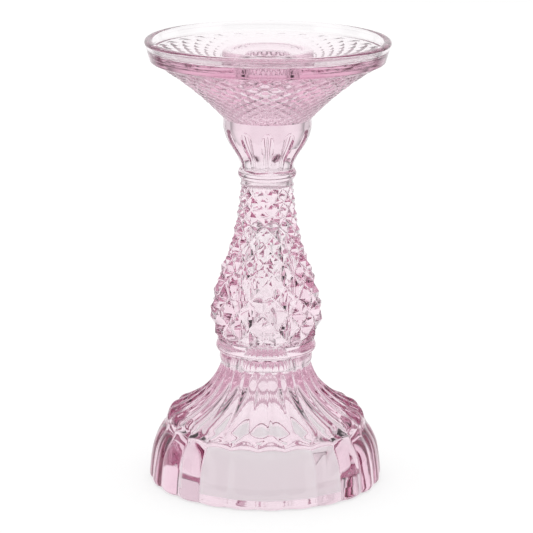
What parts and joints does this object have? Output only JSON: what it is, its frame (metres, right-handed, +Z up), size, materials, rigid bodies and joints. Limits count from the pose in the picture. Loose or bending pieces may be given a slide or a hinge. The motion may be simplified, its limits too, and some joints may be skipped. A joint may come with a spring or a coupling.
{
  "type": "candlestick",
  "caption": "Pink pressed-glass candlestick with a wide shallow-rimmed dish, a central candle socket, a diamond-cut baluster stem and a scalloped bell foot.",
  "frame": {"origin": "centre of the circle the foot rests on, at table level", "axes": "+Z up along the candlestick's axis; +X and +Y level, with one lower diamond row's groove crossing close to -Y"},
  "size_m": [0.1192, 0.1192, 0.22],
  "materials": {
    "pink_glass": "clear pale pink pressed glass, fire-polished, darker rose where the glass is thick"
  },
  "bodies": {
    "root": {"foot": "pink_glass", "collar_ring": "pink_glass", "stem_body": "pink_glass", "bead_ring": "pink_glass", "neck": "pink_glass", "dish": "pink_glass", "candle_ring": "pink_glass"}
  },
  "joints": []
}
